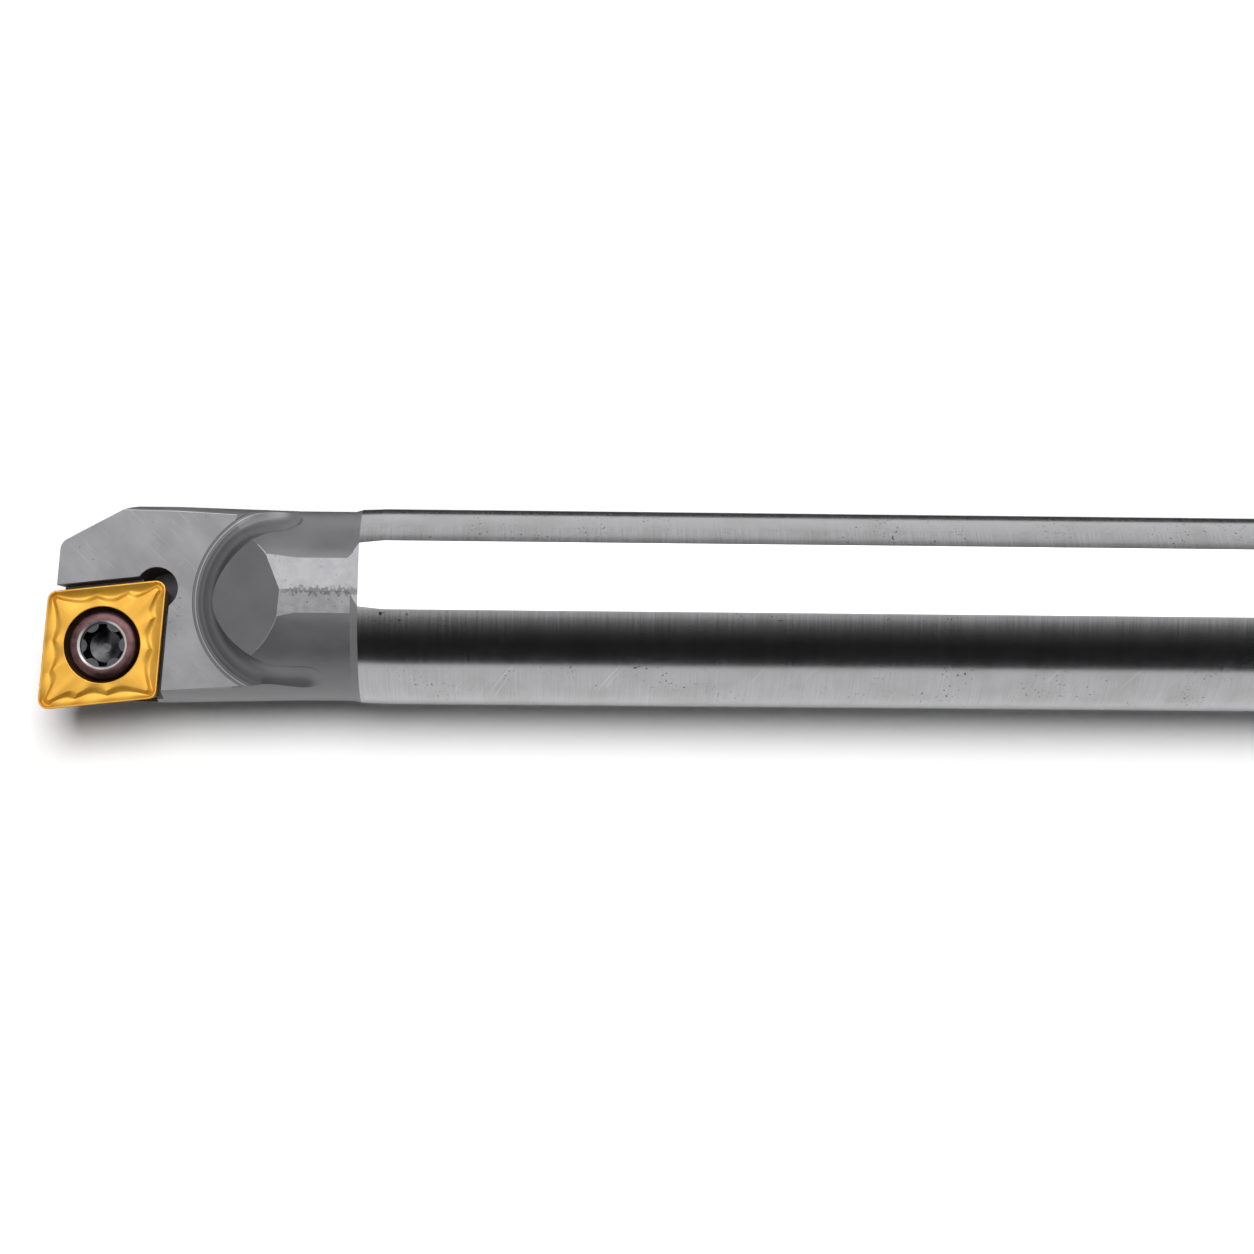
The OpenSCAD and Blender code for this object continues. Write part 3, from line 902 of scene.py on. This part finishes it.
def insertRows():
    # each row goes once round: height, inset, wave, lead and dish, then how far it has drawn in
    # to the round seat
    bottom, slope = -insert["thickness"], math.tan(math.radians(insert["flankAngle"]))
    hone, band, depth, dish = insert["hone"], insert["band"], insert["depth"], insert["dish"]
    foot, top, lead = insert["footInset"], insert["topInset"], insert["cornerLead"]
    chamfer = insert["footChamfer"]
    rows = [(bottom, -bottom * slope + chamfer), (bottom + chamfer, -bottom * slope)]
    rows.append((-hone, hone * slope))
    for turn in (20, 45, 70):
        a = math.radians(turn)
        rows.append((-hone * (1 - math.sin(a)), hone * (1 - math.cos(a))))
    rows += [(0, hone), (0, band)]
    for i in range(1, 9):
        # falls quickly behind the edge and runs out flat at the foot
        share = i / 8
        height = -depth * (1 - (1 - share) ** 1.7)
        inset = band + (foot - band) * share
        rows.append((height, inset, insert["footReach"] * share, lead * share))
    for i in range(1, 9):
        share = i / 8
        rise = share - 0.35 * math.sin(2 * math.pi * share) / (2 * math.pi)
        reach = insert["footReach"] + (insert["topReach"] - insert["footReach"]) * share
        rows.append((-depth * (1 - rise), foot + (top - foot) * share, reach, lead, dish * share))
    for share in (0.3, 0.6, 0.85):
        rows.append((0, top, insert["topReach"], lead, dish * (1 - share), share))
    return rows


def buildInsert():
    rows = insertRows()
    seat, hole, wall = insert["seatRadius"], insert["holeRadius"], insert["seatWall"]
    bottom, mouth, chamfer = -insert["thickness"], insert["mouthRound"], insert["holeChamfer"]
    coneEnd = -wall - (seat - hole) / math.tan(math.radians(insert["seatTurn"]))
    rings = [
        (seat + mouth, 0), (seat + mouth * 2 / 7, -mouth * 2 / 7), (seat, -mouth),
        (seat, -wall), (hole, coneEnd), (hole, bottom + chamfer), (hole + chamfer, bottom),
    ]

    def spot(column, row):
        outer = outlineSpot(column, 0)
        around = outer.normalized()
        if row >= len(rows):
            radius, height = rings[row - len(rows)]
            return Vector((around.x * radius, around.y * radius, height))
        height, inset, wave, lead, dish, drawn = (rows[row] + (0.0,) * 4)[:6]
        swing = alongOutline(column)[3]
        place = outlineSpot(column, inset, wave, lead).lerp(around * (seat + mouth), drawn)
        place.z = height - dish * swing
        return place

    piece = wrappedSheet(insertColumns, len(rows) + len(rings), spot, goldCoating)
    piece.name = "coatedInsert"
    coat(piece, honedShadeCoating)
    coat(piece, seatShadeCoating)
    # the seat and hole get painted shade, and the honed edge a darker brown painted shade
    for face in piece.data.polygons:
        middle = face.center
        if math.hypot(middle.x, middle.y) < seat and middle.z < -0.05:
            face.material_index = 2
        # the honed edge gets its darker brown painted shade
        elif -insert["hone"] < middle.z < 0 and isOnEdge(middle):
            face.material_index = 1
    smoothFaces(piece, insert["sharpAngle"])
    settle(piece, tipPlace @ Matrix.Translation((insertMid, insertMid, 0)))
    return toMetres(piece)


def isOnEdge(spot):
    # within the honed edge: measured from the four straight sides
    half = insert["size"] / 2
    sides = [math.radians(cornerStarts[k] + cornerTurns[k]) for k in range(4)]
    return max(spot.x * math.cos(a) + spot.y * math.sin(a) for a in sides) > half - insert["hone"]


coatedInsert = buildInsert()
print("insert built:", len(coatedInsert.data.polygons), "faces")

# Countersunk screw with a six-lobe socket
screw = {
    "steps": 96,
    "length": 8.5,
    "threadRadius": 1.75,
    "threadPitch": 0.6,
    "threadDepth": 0.3,
    "threadTop": 2.9,
    "endChamfer": 0.4,
    "coneTurn": 30.0,
    "seatPlay": 0.01,
    "rimRadius": 2.8,
    "rimDrop": 0.5,
    "domeRadius": 2.0,
    "domeTop": 0.03,
    "ringInner": 1.84,
    "ringDrop": 0.12,
    "mouthDepth": 0.36,
    "lobeRadius": 1.74,
    "waistRadius": 1.3,
    "fluteRadius": 0.62,
    "socketDepth": 1.5,
    "pointDepth": 0.52,
    "sharpAngle": 24.0,
}


def screwProfile():
    # radius and height from the screw's end to the middle of its head
    # the cone follows the insert's seat
    thread, pitch, rim = screw["threadRadius"], screw["threadPitch"], screw["rimRadius"]
    profile = [(thread - screw["endChamfer"], -screw["length"])]
    height = -screw["length"] + screw["endChamfer"]
    while height < -screw["threadTop"]:
        profile.append((thread, height))
        height += pitch / 6
    cone = math.tan(math.radians(screw["coneTurn"]))
    seat = insert["seatRadius"] - screw["seatPlay"]
    for radius in (thread, rim):
        profile.append((radius, -insert["seatWall"] - (seat - radius) / cone))
    wide, high = rim - screw["domeRadius"], screw["rimDrop"] - screw["domeTop"]
    for turn in range(0, 91, 9):
        a = math.radians(turn)
        radius = screw["domeRadius"] + wide * math.cos(a)
        profile.append((radius, -screw["rimDrop"] + high * math.sin(a)))
    return profile


def cutThread(piece):
    # a V groove wound along the screw, deepest half a pitch from each crest
    bottom, top = -screw["length"] + screw["endChamfer"] - 0.01, -screw["threadTop"]
    pitch = screw["threadPitch"]
    for vertex in piece.data.vertices:
        if bottom < vertex.co.z < top:
            turn = math.atan2(vertex.co.y, vertex.co.x) / (2 * math.pi)
            phase = (vertex.co.z / pitch - turn) % 1
            fade = min(1, (vertex.co.z - bottom) / pitch, (top - vertex.co.z) / pitch)
            depth = screw["threadDepth"] * fade * (1 - abs(2 * phase - 1))
            flatRadius = math.hypot(vertex.co.x, vertex.co.y)
            vertex.co.x *= (flatRadius - depth) / flatRadius
            vertex.co.y *= (flatRadius - depth) / flatRadius


def sixLobes():
    # a round pocket with six flutes left standing, and a bowl as its floor
    lobe, flute, waist = screw["lobeRadius"], screw["fluteRadius"], screw["waistRadius"]
    floorZ = -screw["domeTop"] - screw["socketDepth"]
    # the socket's walls and flat floor take the near black of oxide and painted shade
    lobes = turnedPiece([(lobe, floorZ), (lobe, 1)], 96, finish=socketOxideShade)
    for k in range(6):
        place = Matrix.Rotation(math.radians(60 * k), 4, "Z")
        place @= Matrix.Translation((waist + flute, 0, 0))
        combine(lobes, turnedPiece([(flute, -5), (flute, 5)], 48, place, socketOxideShade))
    bowl, wide = [], waist - 0.01
    for step in range(1, 7):
        bowl.append((wide * step / 6, floorZ - screw["pointDepth"] * (1 - (step / 6) ** 1.3)))
    bowl.append((wide, floorZ + 0.3))
    return combine(lobes, turnedPiece(bowl, 48, finish=socketFloor), "UNION")


def buildScrew():
    piece = turnedPiece(screwProfile(), screw["steps"], finish=screwBronze)
    piece.name = "insertScrew"
    cutThread(piece)
    ring = [
        (screw["ringInner"], -screw["domeTop"] - screw["ringDrop"]),
        (screw["domeRadius"] + 0.03, -screw["domeTop"] + 0.01),
        (screw["domeRadius"] + 0.03, 1),
    ]
    combine(piece, turnedPiece(ring, screw["steps"], finish=screwBright))
    mouthZ = -screw["domeTop"] - screw["mouthDepth"]
    mouth = [(screw["ringInner"], mouthZ), (screw["ringInner"], 1)]
    combine(piece, turnedPiece(mouth, screw["steps"], finish=socketRib))
    combine(piece, sixLobes())
    weldSeams(piece)
    smoothFaces(piece, screw["sharpAngle"])
    settle(piece, tipPlace @ Matrix.Translation((insertMid, insertMid, 0)))
    return toMetres(piece)


insertScrew = buildScrew()
print("screw built:", len(insertScrew.data.polygons), "faces")

for piece, nodeName, slot in (
    (coatedInsert, "insert", "coated_carbide"), (insertScrew, "insert_screw", "screw_steel"),
):
    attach(piece, "root")
    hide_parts(nodeName)


# Camera, as the photograph sees the bar
camera = {
    "place": (-0.14018, -0.07658, 0.20946),
    "pitch": 70.20,
    "yaw": 5.88,
    "roll": 6.08,
    "lens": 77.8,
}


def addCamera():
    a, e, t = (math.radians(camera[k]) for k in ("yaw", "pitch", "roll"))
    ahead = Vector((math.sin(a) * math.cos(e), math.cos(a) * math.cos(e), -math.sin(e)))
    level = Vector((math.cos(a), -math.sin(a), 0))
    up = level.cross(ahead)
    right = level * math.cos(t) + up * math.sin(t)
    top = up * math.cos(t) - level * math.sin(t)
    data = bpy.data.cameras.new("camera")
    data.lens = camera["lens"]
    data.sensor_width = 36.0
    data.clip_start, data.clip_end = 0.01, 20.0
    eye = bpy.data.objects.new("camera", data)
    facing = Matrix((right, top, -ahead)).transposed().to_4x4()
    eye.matrix_world = Matrix.Translation(camera["place"]) @ facing
    bpy.context.scene.collection.objects.link(eye)
    bpy.context.scene.camera = eye


# Soft studio light: a wide even lamp for the shadow, and a graded tent that only the metal mirrors
studio = {
    "floorDrop": 0.00001,
    "floorSize": 6.0,
    "lampAngle": 36.0,
    "lampStrength": 3.3,
    "lampTilt": (3.0, 0.0),
    "fill": 0.1,
    "ends": 0.85,
    "tentRadius": 0.8,
    "tentLength": 1.0,
    "tentLight": 3.3,
    # the card is a painted shadow for the floor's contact shadow, seen only in the metal
    "card": (0.0085, 0.026),    # near and far edge of the dark card behind the bar
    # degrees from overhead towards the cutting side, and the share of the tent's light there
    "tentPanels": (
        (-90, 0.29), (-80, 0.29), (-73, 0.27), (-69, 0.1), (-50, 0.1), (-42, 0.45),
        (-35, 1.0), (-6, 1.0), (2, 0.8), (8, 0.68), (15, 0.57), (19, 0.45), (23, 0.3),
        (29.6, 0.112), (35.5, 0.06), (41, 0.033), (47, 0.018), (53, 0.009), (60, 0.004),
        (72, 0.005), (80, 0.007), (90, 0.01),
    ),
}


def onlyMirrored(piece):
    # seen in the metal and by nothing else
    piece.visible_camera = False
    piece.visible_diffuse = False
    piece.visible_shadow = False
    piece.visible_transmission = False
    piece.visible_volume_scatter = False


def addTent(middle):
    deselectAll()
    bpy.ops.mesh.primitive_cylinder_add(
        vertices=128, radius=studio["tentRadius"], depth=studio["tentLength"],
        end_fill_type="NOTHING", location=(middle.x, 0, 0), rotation=(0, math.radians(90), 0),
    )
    tent = settle(bpy.context.object, Matrix.Identity(4))
    tent.name = "gradedTent"
    pick(tent)
    bpy.ops.object.mode_set(mode="EDIT")
    bpy.ops.mesh.select_all(action="SELECT")
    bpy.ops.mesh.bisect(plane_co=(0, 0, 0), plane_no=(0, 0, 1), clear_inner=True)
    bpy.ops.object.mode_set(mode="OBJECT")
    cloth = newMaterial("gradedTentCloth")
    place = addNode(cloth, "ShaderNodeTexCoord").outputs["Object"]
    axes = addNode(cloth, "ShaderNodeSeparateXYZ", {0: place})
    side = addNode(cloth, "ShaderNodeMath", {0: axes.outputs["Y"], 1: -1.0}, operation="MULTIPLY")
    turn = addNode(
        cloth, "ShaderNodeMath", {0: side.outputs[0], 1: axes.outputs["Z"]}, operation="ARCTAN2",
    )
    share = addNode(cloth, "ShaderNodeMapRange", {
        "Value": turn.outputs[0], "From Min": -math.pi / 2, "From Max": math.pi / 2,
    })
    panels = addNode(cloth, "ShaderNodeValToRGB", {0: share.outputs[0]})
    stops = panels.color_ramp.elements
    while len(stops) < len(studio["tentPanels"]):
        stops.new(0.5)
    for stop, (angle, light) in zip(stops, studio["tentPanels"]):
        stop.position = (angle + 90) / 180
        stop.color = (light, light, light, 1)
    glow = addNode(cloth, "ShaderNodeEmission", {
        "Color": panels.outputs["Color"], "Strength": studio["tentLight"],
    })
    addNode(cloth, "ShaderNodeOutputMaterial", {"Surface": glow.outputs[0]})
    tent.data.materials.append(cloth)
    onlyMirrored(tent)


def addCard(low, high):
    # painted shadow: lies on the floor behind the bar, seen only in the metal, and draws the thin
    # dark line along its far edge
    near, far = studio["card"]
    card = boxPiece((low.x, near, low.z), (high.x, far, low.z + 0.0002))
    card.name = "paintedShadowCard"
    board = newMaterial("paintedShadowBoard")
    shader = addNode(board, "ShaderNodeBsdfDiffuse", {"Color": (0.05, 0.05, 0.05, 1)})
    addNode(board, "ShaderNodeOutputMaterial", {"Surface": shader.outputs["BSDF"]})
    coat(card, board)
    onlyMirrored(card)


def addStudio():
    low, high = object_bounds()
    middle = (low + high) / 2
    scene = bpy.context.scene

    world = bpy.data.worlds.new("studioWhite")
    scene.world = world
    world.use_nodes = True
    world.node_tree.nodes.clear()
    path = addNode(world, "ShaderNodeLightPath")
    mirrored = addNode(
        world, "ShaderNodeMath", {0: path.outputs["Is Glossy Ray"], 1: studio["ends"]},
        operation="MULTIPLY",
    )
    strength = path.outputs["Is Camera Ray"]
    for other in (path.outputs["Is Transmission Ray"], mirrored.outputs[0], studio["fill"]):
        strength = addNode(
            world, "ShaderNodeMath", {0: strength, 1: other}, operation="MAXIMUM",
        ).outputs[0]
    white = addNode(world, "ShaderNodeBackground", {"Color": (1, 1, 1, 1), "Strength": strength})
    addNode(world, "ShaderNodeOutputWorld", {"Surface": white.outputs["Background"]})

    deselectAll()
    bpy.ops.mesh.primitive_plane_add(
        size=studio["floorSize"], location=(middle.x, 0, low.z - studio["floorDrop"]),
    )
    floor = bpy.context.object
    floor.name = "floor"
    paper = newMaterial("palePaper")
    shader = addNode(paper, "ShaderNodeBsdfDiffuse", {"Color": (0.9, 0.9, 0.9, 1)})
    addNode(paper, "ShaderNodeOutputMaterial", {"Surface": shader.outputs["BSDF"]})
    floor.data.materials.append(paper)

    deselectAll()
    tiltY, tiltX = (math.radians(v) for v in studio["lampTilt"])
    bpy.ops.object.light_add(type="SUN", rotation=(-tiltY, tiltX, 0))
    lamp = bpy.context.object
    lamp.name = "softLamp"
    lamp.data.energy = studio["lampStrength"]
    lamp.data.angle = math.radians(studio["lampAngle"])
    lamp.visible_glossy = False
    addTent(middle)
    addCard(low, high)


addCamera()
addStudio()
print("studio set")

scene = bpy.context.scene
scene.view_settings.view_transform = "Standard"
